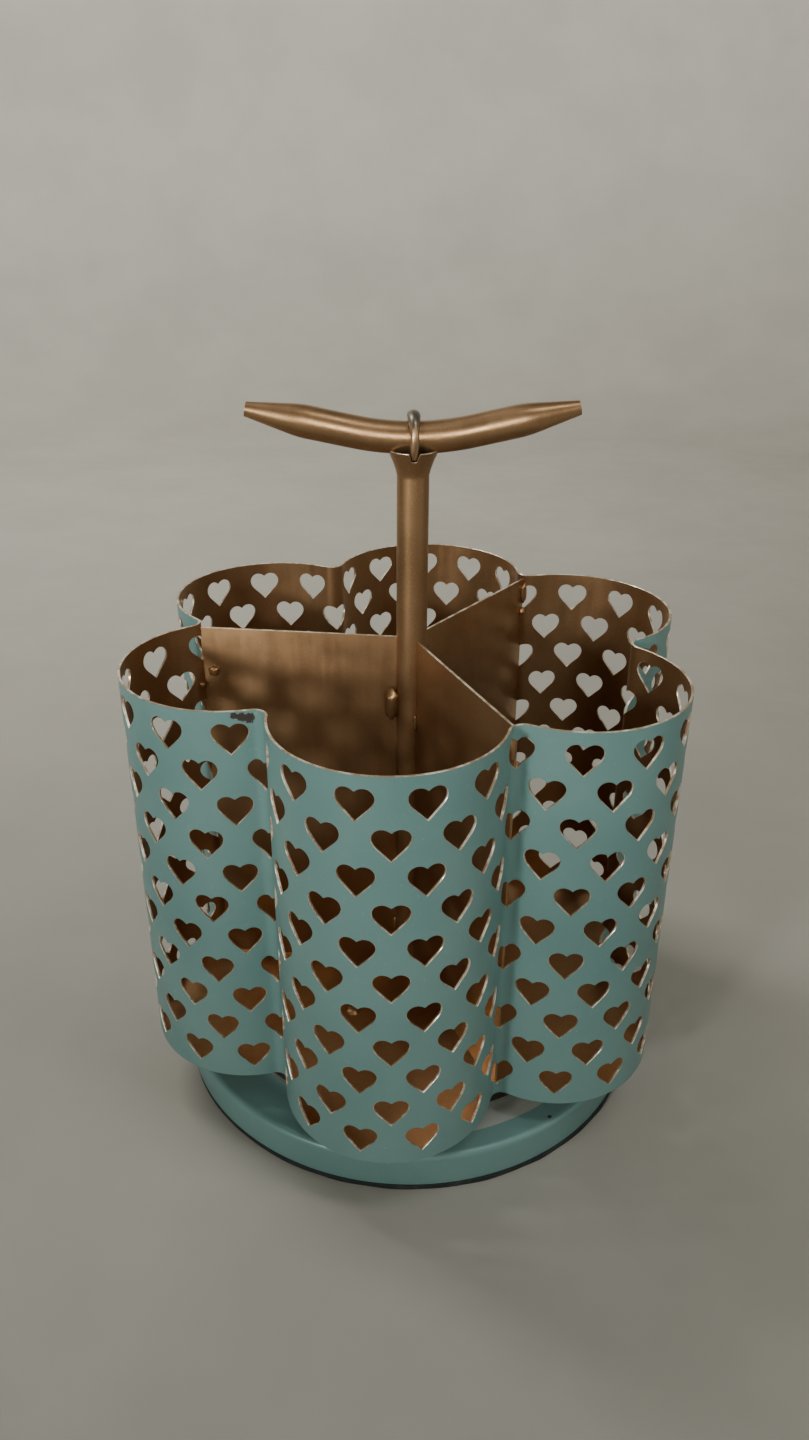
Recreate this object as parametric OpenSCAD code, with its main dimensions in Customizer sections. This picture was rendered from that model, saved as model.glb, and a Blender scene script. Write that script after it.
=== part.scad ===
// Rotating tool caddy: a six-lobed perforated wall on a turntable base,
// with three dividers and a post that carries a bowed bar handle.
// Origin on the turning axis, at the height of the surface it stands on. +Z is up.

/* [Wall] */
// Width across two opposite lobes
body_w = 190; // [184:1:196]
// Outer radius of each lobe
lobe_r = 34.5; // [34:0.1:35.5]
// Height of the wall sheet
wall_h = 137; // [134:1:142]
// Thickness of the wall sheet
wall_t = 0.8; // [0.6:0.1:1]
// Outer bend radius where two lobes meet
bend_r = 3.5; // [3:0.1:4.5]
// Height of the wall's lower edge above the table
deck_z = 24; // [24:0.5:27]

/* [Hearts] */
// Width of a heart hole
heart_w = 10.6; // [9:0.1:11]
// Height of a heart hole
heart_h = 9.9; // [9:0.1:11]
// Height from one row of hearts to the next
row_pitch = 11.9; // [11.5:0.1:12]

/* [Dividers] */
// Thickness of a divider
divider_t = 0.9; // [0.7:0.1:1.2]
// How far the top of a divider is below the rim
divider_drop = 1.5; // [0.5:0.1:4]

/* [Base] */
// Outer radius of the base pan
base_r = 84; // [82:0.5:88]
// Height of the top of the base pan
base_top = 14.2; // [13.6:0.1:14.6]
// Thickness of the rubber foot ring
foot_t = 2; // [1.2:0.1:2.4]

/* [Post and handle] */
// Outer radius of the post
post_r = 5; // [4.8:0.1:5.2]
// Height of the middle of the handle's centre line
handle_z = 224.3; // [215:0.5:235]
// Radius of the handle tube
handle_r = 4.9; // [4.6:0.1:5]
// Half the length of the handle, measured level
handle_half = 51; // [48:0.5:60]
// Angle of the handle about the post
handle_turn = 9; // [-30:1:30]

/* [Hidden] */
$fn = 64;

lobes = 6;
lobe_step = 360 / lobes;
first_cusp = -120;
rows = 11;
half_pitches = 11; // half column pitches from one cusp to the next
far = 200;
eps = 0.01;

// Plan of the wall: lobe circles joined by small outward-facing bends.
lobe_c = body_w / 2 - lobe_r;
lobe_side = lobe_c * cos(lobe_step / 2);
bend_c = lobe_side + sqrt(pow(lobe_side, 2) - pow(lobe_c, 2) + pow(lobe_r + bend_r, 2));
lobe_half = atan2(bend_c * sin(lobe_step / 2), bend_c * cos(lobe_step / 2) - lobe_c);
bend_half = lobe_half - lobe_step / 2;
bend_len = 2 * bend_half * PI / 180 * (bend_r + wall_t / 2);
lobe_len = 2 * lobe_half * PI / 180 * (lobe_r - wall_t / 2);
half_pitch = (bend_len + lobe_len) / half_pitches;
cusp_in = bend_c - bend_r - wall_t; // inner face of the wall at a cusp
wall_top = deck_z + wall_h;
row_low = deck_z + (wall_h - (rows - 1) * row_pitch) / 2 + 0.1;
cusp_heart_w = heart_w * 0.77; // a heart wrapped round the bend looks this wide from outside

// Turntable
plate_t = 2;
sheet_t = 1;
floor_t = 0.9;
floor_top = deck_z + floor_t;
fit_gap = 0.1;
lower_r = 68;
upper_r = 60;
ball_ring_r = 50;
ball_count = 24;
race_gap = deck_z - plate_t - base_top - plate_t;
ball_z = base_top + plate_t + race_gap / 2;
ball_r = race_gap / 2 + 0.3;
groove_r = ball_r + 0.15;
cage_t = 1.6;
cage_w = 12;
rivet_ring_r = 63.5;
floor_rivet_ring_r = 34;
rivet_r = 1.5;
rivet_head_r = 2.8;
rivet_head_h = 1;

// Tie rod with the eye that holds the handle down
rod_r = 2;
rod_gap = 0.05;
eye_wire_r = 1.6;
eye_r = handle_r + 0.15 + eye_wire_r;
bush_r = 4;
bush_flange_r = 7;
bush_flange_t = 1.5;
washer_t = 1.1;
washer_r = 6;
nut_af = 7;
nut_h = 3.2;
bush_low = base_top - sheet_t - bush_flange_t;
washer_low = bush_low - 0.3 - washer_t;
nut_low = washer_low - nut_h;
rod_low = nut_low - 1.5;

// Post and handle
post_wall = 1;
flare_low = 213.6 + handle_z - 224.3;
flare_high = 221 + handle_z - 224.3;
flare_r = 8;
slot_w = 2 * eye_wire_r + 0.5;
slot_low = flare_low + 4.6;
handle_bend_r = 90;
handle_bend_half = 12;
handle_shoulder = 34;
handle_wall = 1;
handle_tip_r = 2;
bend_step = 0.02; // the straight ends are this much slimmer than the bend they start inside

// Welds on each side of a divider: distance from the axis, height above the deck, length and radius
cusp_weld_x = cusp_in - 0.3;
post_weld_x = post_r + 0.2;
low_runs = [[cusp_weld_x, wall_h - 19.5, 5, 1.3], [cusp_weld_x, wall_h / 2, 3, 1.1],
    [cusp_weld_x, 14, 4, 1.2], [post_weld_x, 16, 5, 0.8]];
high_run = [post_weld_x, wall_h - 33.5, 5, 0.8];
nugget = [post_r + 1.3, wall_h - 28.8, 7, 2.2];

module ring(outer, inner, low, high) {
    translate([0, 0, low]) difference() {
        cylinder(h = high - low, r = outer);
        translate([0, 0, -1]) cylinder(h = high - low + 2, r = inner);
    }
}

// A pie slice from the origin, between two angles that are less than 180 degrees apart
module slice(from, to) {
    polygon(concat([[0, 0]],
        [for (i = [0:4]) let (a = from + (to - from) * i / 4) [far * cos(a), far * sin(a)]]));
}

module band(outer, inner, from, to) {
    intersection() {
        difference() {
            circle(outer);
            circle(inner);
        }
        slice(from, to);
    }
}

// A heart with round shoulders, a shallow notch and full flanks, centred on its box
module heart(w, h) {
    shoulder = 0.27 * w;
    side = w / 2 - shoulder;
    half = [[0.27 * w, -0.2 * h], [0.36 * w, -0.1 * h], [0.435 * w, 0], [0.482 * w, 0.1 * h],
        [side, 0.5 * h]];
    for (x = [-side, side]) translate([x, h / 2 - shoulder]) circle(shoulder, $fn = 32);
    polygon(concat([[0, -0.5 * h]], half, [[0, 0.385 * h]],
        [for (i = [len(half) - 1:-1:0]) [-half[i][0], half[i][1]]]));
}

// A heart-shaped cutter that runs outward from start, facing along the given angle
module heart_cutter(w, angle, start, length) {
    rotate([90, 0, angle + 90]) translate([0, 0, start]) linear_extrude(length) heart(w, heart_h);
}

// The plan of one lobe of the wall, on +X, with half a bend at each end
module lobe_plan() {
    translate([lobe_c, 0]) band(lobe_r, lobe_r - wall_t, -lobe_half, lobe_half);
    for (side = [-1, 1]) {
        mirror([0, side < 0 ? 1 : 0]) rotate(lobe_step / 2) translate([bend_c, 0])
            band(bend_r + wall_t, bend_r, 180, 180 + bend_half);
    }
}

// Angle about a lobe's centre of the heart column that is m half pitches past its first cusp
function column_angle(m) =
    (m * half_pitch - bend_len / 2) / (lobe_r - wall_t / 2) * 180 / PI - lobe_half;

module wall_lobe(number) {
    turn = first_cusp + (number - 0.5) * lobe_step;
    color("mediumaquamarine") rotate(turn) difference() {
        translate([0, 0, deck_z]) linear_extrude(wall_h) lobe_plan();
        for (row = [1:rows], m = [0:half_pitches]) {
            if (((number - 1) * half_pitches + m + row) % 2 == 0)
                translate([0, 0, row_low + (rows - row) * row_pitch]) {
                    if (m == 0)
                        heart_cutter(cusp_heart_w, -lobe_step / 2, cusp_in - 2, 9);
                    else if (m == half_pitches)
                        heart_cutter(cusp_heart_w, lobe_step / 2, cusp_in - 2, 9);
                    else
                        translate([lobe_c, 0, 0])
                            heart_cutter(heart_w, column_angle(m), lobe_r - 3, 5);
                }
        }
    }
}

module floor_plan() {
    difference() {
        union() {
            for (i = [0:lobes - 1])
                rotate(i * lobe_step + lobe_step / 2) translate([lobe_c, 0])
                    circle(lobe_r - wall_t - fit_gap);
            polygon([for (i = [0:2 * lobes - 1])
                let (r = i % 2 == 0 ? bend_c : lobe_c, a = i * lobe_step / 2)
                [r * cos(a), r * sin(a)]]);
        }
        for (i = [0:lobes - 1])
            rotate(i * lobe_step) translate([bend_c, 0]) circle(bend_r + wall_t + 2 * fit_gap);
    }
}

module floor_plate() {
    color("peru") difference() {
        translate([0, 0, deck_z]) linear_extrude(floor_t) floor_plan();
        translate([0, 0, deck_z - 1]) cylinder(h = floor_t + 2, r = rod_r + 0.2);
        rivet_holes(floor_rivet_ring_r, 3, deck_z - 1, floor_top + 1);
    }
}

module rivet_holes(ring_r, count, low, high) {
    for (i = [0:count - 1])
        rotate(i * 360 / count) translate([ring_r, 0, low]) cylinder(h = high - low, r = rivet_r);
}

// Round-head rivets through a stack from low to high, with a head at each end
module rivets(ring_r, count, low, high) {
    for (i = [0:count - 1])
        rotate(i * 360 / count) translate([ring_r, 0, 0]) {
            translate([0, 0, low]) cylinder(h = high - low, r = rivet_r);
            translate([0, 0, high]) rivet_head();
            translate([0, 0, low]) mirror([0, 0, 1])
                cylinder(h = 0.7, r = 0.8 * rivet_head_r);
        }
}

module rivet_head() {
    dome_r = (pow(rivet_head_r, 2) + pow(rivet_head_h, 2)) / (2 * rivet_head_h);
    intersection() {
        translate([0, 0, rivet_head_h - dome_r]) sphere(dome_r);
        cylinder(h = rivet_head_h + 1, r = rivet_head_r);
    }
}

module floor_rivets() {
    color("peru") rivets(floor_rivet_ring_r, 3, deck_z - plate_t, floor_top);
}

module race_rivets() {
    color("silver") rivets(rivet_ring_r, 6, base_top - sheet_t, base_top + plate_t);
}

module foot_ring() {
    color("darkslategray") ring(base_r, base_r - 5, 0, foot_t);
}

module pan_profile(r, high, corner) {
    square([r - corner, high]);
    square([r, high - corner]);
    translate([r - corner, high - corner]) circle(corner);
}

module base_pan() {
    corner = 2.4;
    height = base_top - foot_t;
    color("mediumaquamarine") difference() {
        translate([0, 0, foot_t]) rotate_extrude($fn = 128) difference() {
            pan_profile(base_r, height, corner);
            translate([0, -1]) pan_profile(base_r - sheet_t, height - sheet_t + 1, corner - sheet_t);
        }
        translate([0, 0, base_top - 5]) cylinder(h = 10, r = bush_r);
        rivet_holes(rivet_ring_r, 6, base_top - 5, base_top + 5);
    }
}

module ball_groove() {
    translate([0, 0, ball_z]) rotate_extrude($fn = 128) translate([ball_ring_r, 0])
        circle(groove_r);
}

module lower_race() {
    color("silver") difference() {
        ring(lower_r, bush_r, base_top, base_top + plate_t);
        ball_groove();
        rivet_holes(rivet_ring_r, 6, base_top - 1, base_top + plate_t + 1);
    }
}

module upper_race() {
    color("silver") difference() {
        ring(upper_r, rod_r + 0.2, deck_z - plate_t, deck_z);
        ball_groove();
        rivet_holes(floor_rivet_ring_r, 3, deck_z - plate_t - 1, deck_z + 1);
    }
}

module bearing_balls() {
    color("lightgray") for (i = [0:ball_count - 1])
        rotate(i * 360 / ball_count) translate([ball_ring_r, 0, ball_z]) sphere(ball_r);
}

module ball_cage() {
    pocket_r = ball_r + 0.1;
    color("white") difference() {
        ring(ball_ring_r + cage_w / 2, ball_ring_r - cage_w / 2,
            ball_z - cage_t / 2, ball_z + cage_t / 2);
        for (i = [0:ball_count - 1])
            rotate(i * 360 / ball_count) translate([ball_ring_r, 0, ball_z - 2])
                cylinder(h = 4, r = pocket_r);
    }
}

module pivot_bush() {
    color("white") difference() {
        union() {
            translate([0, 0, bush_low]) cylinder(h = bush_flange_t, r = bush_flange_r);
            translate([0, 0, bush_low]) cylinder(h = base_top + plate_t - bush_low, r = bush_r);
        }
        translate([0, 0, bush_low - 1]) cylinder(h = 20, r = rod_r + rod_gap);
    }
}

// Divider sheet from the post to the inside of every second cusp
module divider(number) {
    turn = first_cusp + lobe_step + (number - 1) * 120;
    color("peru") rotate(turn) difference() {
        translate([0, -divider_t / 2, floor_top])
            cube([cusp_in + 1, divider_t, wall_top - divider_drop - floor_top]);
        translate([0, 0, floor_top - 1]) cylinder(h = wall_h + 5, r = post_r);
        translate([bend_c, 0, floor_top - 1]) cylinder(h = wall_h + 5, r = bend_r + wall_t);
    }
}

// A short run of weld in the corner between a divider's face and a round surface beside it
module weld_bead(run, side) {
    translate([run[0], side * (divider_t / 2 + 0.3), deck_z + run[1]]) {
        cylinder(h = run[2], r = run[3], $fn = 32);
        sphere(run[3], $fn = 32);
        translate([0, 0, run[2]]) sphere(run[3], $fn = 32);
    }
}

module weld_beads() {
    color("peru") for (i = [0:2])
        rotate(first_cusp + lobe_step + i * 120) difference() {
            for (side = [-1, 1]) {
                for (run = low_runs) weld_bead(run, side);
                weld_bead(i == 2 && side == 1 ? nugget : high_run, side);
            }
            translate([0, -divider_t / 2, 0]) cube([cusp_in + 5, divider_t, wall_top]);
            cylinder(h = wall_top, r = post_r);
            translate([bend_c, 0, 0]) cylinder(h = wall_top, r = bend_r + wall_t);
        }
}

// The handle's centre line runs along X here, bowed down in the middle
module handle_rod(r, tip_r, extra) {
    rise = handle_bend_r * (1 - cos(handle_bend_half));
    reach = handle_bend_r * sin(handle_bend_half);
    shoulder_len = (handle_shoulder - reach) / cos(handle_bend_half);
    tip_len = (handle_half - handle_shoulder) / cos(handle_bend_half);
    translate([0, 0, handle_bend_r]) rotate([90, 0, 0]) rotate(-90 - handle_bend_half)
        rotate_extrude(angle = 2 * handle_bend_half, $fn = 128)
            translate([handle_bend_r, 0]) circle(r);
    for (side = [0, 1])
        mirror([side, 0, 0]) translate([reach, 0, rise]) rotate([0, 90 - handle_bend_half, 0]) {
            translate([0, 0, -1]) cylinder(h = shoulder_len + 1, r = r - bend_step);
            translate([0, 0, shoulder_len]) cylinder(h = tip_len + extra, r1 = r - bend_step,
                r2 = r + (tip_r - r) * (tip_len + extra) / tip_len);
        }
}

module handle_bar() {
    color("peru") translate([0, 0, handle_z]) rotate(handle_turn) difference() {
        handle_rod(handle_r, handle_tip_r, 0);
        handle_rod(handle_r - handle_wall, handle_tip_r - 0.6, 1);
    }
}

// Post tube with a flared, slotted top that cradles the handle
module post_tube() {
    color("peru") difference() {
        union() {
            translate([0, 0, floor_top]) cylinder(h = flare_low - floor_top, r = post_r);
            translate([0, 0, flare_low])
                cylinder(h = flare_high - flare_low, r1 = post_r, r2 = flare_r);
        }
        translate([0, 0, floor_top - 1]) cylinder(h = flare_low - floor_top + 1, r = post_r - post_wall);
        translate([0, 0, flare_low])
            cylinder(h = flare_high - flare_low + eps, r1 = post_r - post_wall, r2 = flare_r - post_wall);
        translate([0, 0, handle_z]) rotate([90, 0, handle_turn + 90])
            cylinder(h = 40, r = handle_r + 0.02, center = true);
        rotate(handle_turn) translate([-slot_w / 2, -15, slot_low]) cube([slot_w, 30, 20]);
    }
}

// Ring round the handle, with a rod that runs down the post and through the turntable
module eye_bolt() {
    color("rosybrown") union() {
        translate([0, 0, handle_z]) rotate([90, 0, handle_turn + 90])
            rotate_extrude($fn = 64) translate([eye_r, 0]) circle(eye_wire_r, $fn = 32);
        translate([0, 0, rod_low]) cylinder(h = handle_z - eye_r - rod_low, r = rod_r);
    }
}

module washer() {
    color("silver") ring(washer_r, rod_r + rod_gap, washer_low, washer_low + washer_t);
}

module lock_nut() {
    color("silver") translate([0, 0, nut_low]) difference() {
        cylinder(h = nut_h, r = nut_af / 2 / cos(30), $fn = 6);
        translate([0, 0, -1]) cylinder(h = nut_h + 2, r = rod_r);
    }
}

foot_ring();
base_pan();
lower_race();
race_rivets();
pivot_bush();
ball_cage();
bearing_balls();
upper_race();
floor_rivets();
floor_plate();
wall_lobe(1);  // wall_lobe_1
wall_lobe(2);  // wall_lobe_2
wall_lobe(3);  // wall_lobe_3
wall_lobe(4);  // wall_lobe_4
wall_lobe(5);  // wall_lobe_5
wall_lobe(6);  // wall_lobe_6
divider(1);  // divider_1
divider(2);  // divider_2
divider(3);  // divider_3
weld_beads();
post_tube();
handle_bar();
eye_bolt();
washer();
lock_nut();
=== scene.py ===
"""Looks for a rotating tool caddy: a perforated wall on a turntable, with a post and a bowed handle.

Sizes are in millimetres until a mesh is made, and every mesh is made in metres in the frame's own axes.
"""

import math

import bmesh
import bpy
import numpy as np
from mathutils import Matrix, Vector, noise


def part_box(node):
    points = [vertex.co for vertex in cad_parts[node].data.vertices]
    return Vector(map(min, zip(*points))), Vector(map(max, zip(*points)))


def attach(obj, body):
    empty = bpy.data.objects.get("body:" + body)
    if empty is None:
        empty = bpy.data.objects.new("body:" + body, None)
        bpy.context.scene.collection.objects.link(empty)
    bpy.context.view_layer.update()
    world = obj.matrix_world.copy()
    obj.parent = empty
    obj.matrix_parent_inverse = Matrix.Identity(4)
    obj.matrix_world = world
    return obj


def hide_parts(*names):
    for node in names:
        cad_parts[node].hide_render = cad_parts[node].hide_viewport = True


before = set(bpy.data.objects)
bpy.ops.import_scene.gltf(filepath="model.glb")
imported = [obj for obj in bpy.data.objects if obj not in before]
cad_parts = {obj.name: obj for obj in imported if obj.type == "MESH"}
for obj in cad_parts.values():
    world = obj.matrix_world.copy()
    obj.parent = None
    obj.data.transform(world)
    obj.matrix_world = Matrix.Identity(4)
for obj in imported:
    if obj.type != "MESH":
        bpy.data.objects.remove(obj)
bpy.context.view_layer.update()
MM = 0.001


def box_mm(node):
    """Lowest and highest corner of a CAD node in millimetres."""
    low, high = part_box(node)
    return Vector(low) / MM, Vector(high) / MM


# ---------------------------------------------------------------- driving sizes

WALL_LOW = box_mm("wall_lobe_1")[0].z
WALL_HIGH = box_mm("wall_lobe_1")[1].z
BODY_R = -box_mm("wall_lobe_1")[0].y
LOBE_R = 34.5
BEND_R = 3.5
SHEET_T = 0.8
LOBES = 6
LOBE_STEP = math.radians(60)
FIRST_CUSP = math.radians(-120)

HALF_PITCHES = 11  # half pitches of the hearts' grid in one lobe's share
ROWS = 11
ROW_PITCH = 11.9
ROW_LIFT = 0.1  # the grid's middle is this far above the wall's
HEART_W = 10.6
HEART_H = 9.9
HEART_SHOULDER = 0.27  # shoulder radius, notch height and flank points are shares of the heart's size
HEART_NOTCH = 0.385
HEART_ARC_END = math.radians(95)  # where the shoulder's arc stops and the curve into the notch starts
HEART_DIP = (0.10, 0.01)  # the curve's middle point: share of the width out, share of the height down
HEART_FLANK = ((0, -0.5), (0.27, -0.20), (0.36, -0.10), (0.435, 0.0), (0.482, 0.10))
EDGE_BEVEL = 0.13

DIVIDER_T = 0.9
NUGGET_Z = 135.7  # height of the large weld on the post
DIVIDER_TOP = box_mm("divider_1")[1].z
FLOOR_TOP = box_mm("divider_1")[0].z

BASE_R = box_mm("base_pan")[1].x
BASE_LOW = box_mm("base_pan")[0].z
BASE_TOP = box_mm("base_pan")[1].z

POST_R = 5.0
HANDLE_R = 4.9
HANDLE_Z = 224.3
HANDLE_TURN = math.radians(9)
HANDLE_BEND_R = 90.0
HANDLE_BEND = math.radians(12)
HANDLE_SHOULDER = 34.0
HANDLE_HALF = 51.0
HANDLE_TIP_R = 2.0
EYE_WIRE_R = 1.6
EYE_R = HANDLE_R + 0.15 + EYE_WIRE_R

LOBE_C = BODY_R - LOBE_R
LOBE_SIDE = LOBE_C * math.cos(LOBE_STEP / 2)
BEND_C = LOBE_SIDE + math.sqrt(LOBE_SIDE**2 - LOBE_C**2 + (LOBE_R + BEND_R) ** 2)
LOBE_HALF = math.atan2(BEND_C * math.sin(LOBE_STEP / 2), BEND_C * math.cos(LOBE_STEP / 2) - LOBE_C)
BEND_HALF = LOBE_HALF - LOBE_STEP / 2
BEND_MID_R = BEND_R + SHEET_T / 2
LOBE_MID_R = LOBE_R - SHEET_T / 2
BEND_LEN = 2 * BEND_HALF * BEND_MID_R
LOBE_LEN = 2 * LOBE_HALF * LOBE_MID_R
LOBE_RUN = BEND_LEN + LOBE_LEN
HALF_PITCH = LOBE_RUN / HALF_PITCHES
CUSP_IN = BEND_C - BEND_R - SHEET_T


# ---------------------------------------------------------------- mesh helpers


def finish_piece(name, mesh, materials, body, nodes):
    """Puts a mesh in the scene with its materials, on a body, in place of CAD nodes."""
    piece = bpy.data.objects.new(name, mesh)
    bpy.context.scene.collection.objects.link(piece)
    for material in materials:
        mesh.materials.append(material)
    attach(piece, body)
    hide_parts(*nodes)


def mesh_from(name, points, faces, sharp_angle=40):
    """A mesh in metres from points in millimetres, smooth except at edges sharper than an angle."""
    mesh = bpy.data.meshes.new(name)
    mesh.from_pydata([Vector(p) * MM for p in points], [], faces)
    tidy = bmesh.new()
    tidy.from_mesh(mesh)
    bmesh.ops.recalc_face_normals(tidy, faces=tidy.faces)
    tidy.to_mesh(mesh)
    tidy.free()
    mesh.shade_smooth()
    mesh.set_sharp_from_angle(angle=math.radians(sharp_angle))
    return mesh


def rounded(corners, radii, steps):
    """A closed (r, z) outline with each corner rounded by its own radius, as far as its sides allow."""
    out = []
    count = len(corners)
    for i, (corner, radius) in enumerate(zip(corners, radii)):
        here = Vector(corner)
        before, after = Vector(corners[i - 1]) - here, Vector(corners[(i + 1) % count]) - here
        reach = min(radius, before.length * 0.45, after.length * 0.45)
        start, end = here + before.normalized() * reach, here + after.normalized() * reach
        for k in range(steps + 1):
            t = k / steps
            out.append(start * (1 - t) ** 2 + here * 2 * t * (1 - t) + end * t**2)
    return out


def lathe(name, outline, segments, ripple=None):
    """Turns a closed (r, z) outline about Z. ripple(angle, r) gives a small change of radius."""
    points, faces = [], []
    count = len(outline)
    for s in range(segments):
        a = 2 * math.pi * s / segments
        for r, z in outline:
            grown = r + (ripple(a, r) if ripple else 0)
            points.append((grown * math.cos(a), grown * math.sin(a), z))
    for s in range(segments):
        t = (s + 1) % segments
        for k in range(count):
            n = (k + 1) % count
            faces.append((s * count + k, t * count + k, t * count + n, s * count + n))
    return mesh_from(name, points, faces)


def tube_rings(path, radii, segments):
    """Rings of points round a planar path of (along, up) pairs, in the XZ plane."""
    rings = []
    for k, ((x, z), r) in enumerate(zip(path, radii)):
        before = Vector(path[max(k - 1, 0)])
        after = Vector(path[min(k + 1, len(path) - 1)])
        along = (after - before).normalized()
        up = Vector((-along.y, along.x))
        ring = []
        for i in range(segments):
            b = 2 * math.pi * i / segments
            ring.append((x + up.x * r * math.sin(b), r * math.cos(b), z + up.y * r * math.sin(b)))
        rings.append(ring)
    return rings


def skin(rings, closed=False):
    """Points and faces that join rings of equal length one after another."""
    points = [p for ring in rings for p in ring]
    count = len(rings[0])
    faces = []
    for k in range(len(rings) if closed else len(rings) - 1):
        n = (k + 1) % len(rings)
        for i in range(count):
            j = (i + 1) % count
            faces.append((k * count + i, k * count + j, n * count + j, n * count + i))
    return points, faces


def turned(points, angle, lift=0.0):
    """Points turned about Z and lifted."""
    c, s = math.cos(angle), math.sin(angle)
    return [(x * c - y * s, x * s + y * c, z + lift) for x, y, z in points]


def joined(*parts):
    """One list of points and faces out of several."""
    points, faces = [], []
    for some_points, some_faces in parts:
        start = len(points)
        points += list(some_points)
        faces += [tuple(i + start for i in face) for face in some_faces]
    return points, faces


# ---------------------------------------------------------------- materials


class Nodes:
    """Short names for the node calls that the materials share."""

    def __init__(self, name):
        self.material = bpy.data.materials.new(name)
        self.material.use_nodes = True
        self.tree = self.material.node_tree
        self.shader = self.tree.nodes["Principled BSDF"]
        self.place = self.tree.nodes.new("ShaderNodeTexCoord").outputs["Object"]

    def link(self, source, target):
        self.tree.links.new(source, target)

    def stretched(self, scale, place=None):
        """Object coordinates scaled by one number for each axis."""
        node = self.tree.nodes.new("ShaderNodeMapping")
        node.inputs["Scale"].default_value = scale
        self.link(place or self.place, node.inputs["Vector"])
        return node.outputs["Vector"]

    def noise(self, scale, detail=3.0, rough=0.5, place=None, warp=0.0):
        node = self.tree.nodes.new("ShaderNodeTexNoise")
        node.inputs["Scale"].default_value = scale
        node.inputs["Detail"].default_value = detail
        node.inputs["Roughness"].default_value = rough
        node.inputs["Distortion"].default_value = warp
        self.link(place or self.place, node.inputs["Vector"])
        return node.outputs["Fac"]

    def ramp(self, value, low, high, to_low=0.0, to_high=1.0):
        """A number mapped smoothly from one range to another."""
        node = self.tree.nodes.new("ShaderNodeMapRange")
        node.interpolation_type = "SMOOTHSTEP"
        self.link(value, node.inputs["Value"])
        node.inputs["From Min"].default_value = low
        node.inputs["From Max"].default_value = high
        node.inputs["To Min"].default_value = to_low
        node.inputs["To Max"].default_value = to_high
        return node.outputs["Result"]

    def math(self, how, a, b):
        node = self.tree.nodes.new("ShaderNodeMath")
        node.operation = how
        for socket, value in zip(node.inputs, (a, b)):
            if isinstance(value, (int, float)):
                socket.default_value = value
            else:
                self.link(value, socket)
        return node.outputs["Value"]

    def mix(self, amount, a, b):
        """A colour between a and b, each a colour or a socket."""
        node = self.tree.nodes.new("ShaderNodeMix")
        node.data_type = "RGBA"
        self.link(amount, node.inputs["Factor"])
        for socket, value in ((node.inputs[6], a), (node.inputs[7], b)):
            if isinstance(value, tuple):
                socket.default_value = (*value, 1)
            else:
                self.link(value, socket)
        return node.outputs[2]

    def near(self, spot, size):
        """1 at a spot given in millimetres, falling to 0 at a distance of size."""
        node = self.tree.nodes.new("ShaderNodeVectorMath")
        node.operation = "DISTANCE"
        self.link(self.place, node.inputs[0])
        node.inputs[1].default_value = Vector(spot) * MM
        return self.ramp(node.outputs["Value"], 0.0, size * MM, 1.0, 0.0)

    def bump(self, layers):
        """Bumps stacked on one another, each a height socket, a depth in mm and a strength."""
        normal = None
        for height, depth, strength in layers:
            node = self.tree.nodes.new("ShaderNodeBump")
            node.inputs["Distance"].default_value = depth * MM
            node.inputs["Strength"].default_value = strength
            self.link(height, node.inputs["Height"])
            if normal:
                self.link(normal, node.inputs["Normal"])
            normal = node.outputs["Normal"]
        self.link(normal, self.shader.inputs["Normal"])

    def colour(self, socket):
        self.link(socket, self.shader.inputs["Base Color"])

    def roughness(self, socket):
        self.link(socket, self.shader.inputs["Roughness"])

    def set(self, **values):
        for name, value in values.items():
            self.shader.inputs[name.replace("_", " ")].default_value = value


CHIP = (0.055, 0.045, 0.035)


def mint_paint(name, chips, grey_patch=None):
    """Satin mint enamel: soft cloudy tone, fine orange peel, dust, and worn spots.

    Chips are places with sizes. A grey patch is a grey area round a place, inside a radius from the axis.
    """
    n = Nodes(name)
    cloud = n.ramp(n.noise(16, 3, 0.55, warp=0.4), 0.3, 0.7)
    tone = n.mix(cloud, (0.148, 0.298, 0.288), (0.185, 0.345, 0.330))
    speck = n.ramp(n.noise(900, 2, 0.6), 0.66, 0.78)
    tone = n.mix(n.math("MULTIPLY", speck, 0.22), tone, (0.50, 0.66, 0.60))
    dust = n.ramp(n.noise(260, 6, 0.7), 0.62, 0.80)
    tone = n.mix(n.math("MULTIPLY", dust, 0.16), tone, (0.55, 0.60, 0.54))
    rough = n.ramp(n.noise(60, 4, 0.6), 0.3, 0.7, 0.40, 0.52)
    worn = None
    torn = n.noise(1100, 5, 0.75)
    for spot, size in chips:
        near = n.math("MULTIPLY", n.near(spot, size), 0.45)
        mask = n.ramp(n.math("ADD", n.math("MULTIPLY", torn, 0.55), near), 0.50, 0.55)
        tone = n.mix(mask, tone, CHIP)
        worn = mask if worn is None else n.math("MAXIMUM", worn, mask)
    # the grey patch: a grey area on the pan's top, inside a radius from the axis and round a place
    if grey_patch:
        reach, spot, size = grey_patch
        flat = n.tree.nodes.new("ShaderNodeVectorMath")
        flat.operation = "LENGTH"
        n.link(n.stretched((1, 1, 0)), flat.inputs[0])
        within = n.ramp(flat.outputs["Value"], (reach - 0.4) * MM, reach * MM, 1.0, 0.0)
        around = n.ramp(n.near(spot, size), 0.10, 0.16)
        tone = n.mix(n.math("MULTIPLY", within, around), tone, (0.42, 0.47, 0.43))
    n.colour(tone)
    n.roughness(rough)
    layers = [(n.noise(1300, 2, 0.5), 0.03, 0.25), (n.noise(120, 2, 0.5), 0.05, 0.15)]
    if worn is not None:
        layers.append((n.math("SUBTRACT", 1.0, worn), 0.06, 0.6))
    n.bump(layers)
    n.set(Metallic=0.18, Coat_Weight=0.12, Coat_Roughness=0.25, IOR=1.5)
    return n.material


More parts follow.
